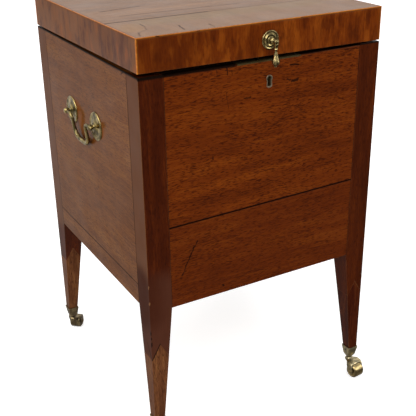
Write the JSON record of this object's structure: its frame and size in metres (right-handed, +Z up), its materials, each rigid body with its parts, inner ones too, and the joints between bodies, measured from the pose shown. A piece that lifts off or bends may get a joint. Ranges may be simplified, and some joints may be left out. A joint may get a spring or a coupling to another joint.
{
  "type": "cellarette",
  "caption": "Square mahogany cellarette with a hinged lid, drop pull, lock, swinging side handles and a divided lead-lined inside, on tapered legs with swivelling castors.",
  "frame": {"origin": "on the floor under the middle of the case", "axes": "+Z up, +X to the right and -Y towards the front, where the keyhole is"},
  "size_m": [0.4636, 0.4782, 0.7071],
  "materials": {
    "mahogany": "french polish, dark with age",
    "mahogany_legs": "french polish, worn",
    "mahogany_veneer": "french polish",
    "boxwood": "french polish",
    "inner_wood": "bare, oxidised",
    "sheet_lead": "dull sheet lead",
    "fittings_brass": "aged, rubbed bright",
    "castor_brass": "aged, dull",
    "steel": "dull"
  },
  "bodies": {
    "case": {"back_board": "mahogany", "bottle_dividers_crosswise": "inner_wood", "bottle_dividers_lengthwise": "inner_wood", "bottom_board": "inner_wood", "bottom_ledgers": "inner_wood", "castor_cups": "castor_brass", "front_board_lower": "mahogany", "front_board_upper": "mahogany", "handle_nuts": "fittings_brass", "handle_posts": "fittings_brass", "handle_roses": "fittings_brass", "hinge_leaves_case": "fittings_brass", "keyhole_escutcheon": "fittings_brass", "lead_lining": "sheet_lead", "left_board_lower": "mahogany", "left_board_upper": "mahogany", "leg_tip_back_left": "mahogany_legs", "leg_tip_back_right": "mahogany_legs", "leg_tip_front_left": "mahogany_legs", "leg_tip_front_right": "mahogany_legs", "lock_case": "fittings_brass", "right_board_lower": "mahogany", "right_board_upper": "mahogany", "top_lip": "mahogany", "upper_leg_back_left": "mahogany_legs", "upper_leg_back_right": "mahogany_legs", "upper_leg_front_left": "mahogany_legs", "upper_leg_front_right": "mahogany_legs"},
    "lid": {"lid_top_board": "mahogany", "lid_rim_front": "mahogany", "lid_rim_right": "mahogany", "lid_rim_back": "mahogany", "lid_rim_left": "mahogany", "lid_rim_veneers": "mahogany_veneer", "lid_field_veneer": "mahogany_veneer", "lid_front_veneer": "mahogany_veneer", "lid_stringing": "boxwood", "hinge_leaves_lid": "fittings_brass", "hinge_pins": "steel", "lock_link_plate": "fittings_brass", "pull_rose": "fittings_brass", "pull_post": "fittings_brass"},
    "pull_drop": {"pull_drop": "fittings_brass"},
    "lock_bolt": {"lock_bolt": "fittings_brass"},
    "handle_bail_left": {"handle_bail_left": "fittings_brass"},
    "handle_bail_right": {"handle_bail_right": "fittings_brass"},
    "castor_horn_front_left": {"castor_horn_front_left": "castor_brass", "castor_axle_front_left": "steel"},
    "castor_wheel_front_left": {"castor_wheel_front_left": "castor_brass"},
    "castor_horn_front_right": {"castor_horn_front_right": "castor_brass", "castor_axle_front_right": "steel"},
    "castor_wheel_front_right": {"castor_wheel_front_right": "castor_brass"},
    "castor_horn_back_left": {"castor_horn_back_left": "castor_brass", "castor_axle_back_left": "steel"},
    "castor_wheel_back_left": {"castor_wheel_back_left": "castor_brass"},
    "castor_horn_back_right": {"castor_horn_back_right": "castor_brass", "castor_axle_back_right": "steel"},
    "castor_wheel_back_right": {"castor_wheel_back_right": "castor_brass"}
  },
  "joints": [
    {"name": "lid_hinge", "type": "hinge", "parent": "case", "child": "lid", "pos_m": [0, 0.2193, 0.6522], "axis": [-1, 0, 0], "range_deg": [0, 95]},
    {"name": "lock_throw", "type": "slide", "parent": "case", "child": "lock_bolt", "axis": [1, 0, 0], "range_m": [0, 0.006]},
    {"name": "pull_swing", "type": "hinge", "parent": "lid", "child": "pull_drop", "pos_m": [0.0036, -0.2315, 0.6787], "axis": [-1, 0, 0], "range_deg": [-14, 194]},
    {"name": "left_handle_swing", "type": "hinge", "parent": "case", "child": "handle_bail_left", "pos_m": [-0.227, 0.0115, 0.5326], "axis": [0, 1, 0], "range_deg": [0, 164]},
    {"name": "right_handle_swing", "type": "hinge", "parent": "case", "child": "handle_bail_right", "pos_m": [0.227, 0.0115, 0.5326], "axis": [0, -1, 0], "range_deg": [0, 164]},
    {"name": "front_left_swivel", "type": "hinge", "parent": "case", "child": "castor_horn_front_left", "pos_m": [-0.20675, -0.20675, 0.0352], "axis": [0, 0, 1], "continuous": true},
    {"name": "front_left_roll", "type": "hinge", "parent": "castor_horn_front_left", "child": "castor_wheel_front_left", "pos_m": [-0.18825, -0.20675, 0.0135], "axis": [0, 1, 0], "continuous": true},
    {"name": "front_right_swivel", "type": "hinge", "parent": "case", "child": "castor_horn_front_right", "pos_m": [0.20675, -0.20675, 0.0352], "axis": [0, 0, 1], "continuous": true},
    {"name": "front_right_roll", "type": "hinge", "parent": "castor_horn_front_right", "child": "castor_wheel_front_right", "pos_m": [0.20868, -0.22515, 0.0135], "axis": [0.9945, 0.1045, 0], "continuous": true},
    {"name": "back_left_swivel", "type": "hinge", "parent": "case", "child": "castor_horn_back_left", "pos_m": [-0.20675, 0.20675, 0.0352], "axis": [0, 0, 1], "continuous": true},
    {"name": "back_left_roll", "type": "hinge", "parent": "castor_horn_back_left", "child": "castor_wheel_back_left", "pos_m": [-0.19452, 0.22063, 0.0135], "axis": [-0.7501, 0.6613, 0], "continuous": true},
    {"name": "back_right_swivel", "type": "hinge", "parent": "case", "child": "castor_horn_back_right", "pos_m": [0.20675, 0.20675, 0.0352], "axis": [0, 0, 1], "continuous": true},
    {"name": "back_right_roll", "type": "hinge", "parent": "castor_horn_back_right", "child": "castor_wheel_back_right", "pos_m": [0.20675, 0.22525, 0.0135], "axis": [-1, 0, 0], "continuous": true}
  ]
}
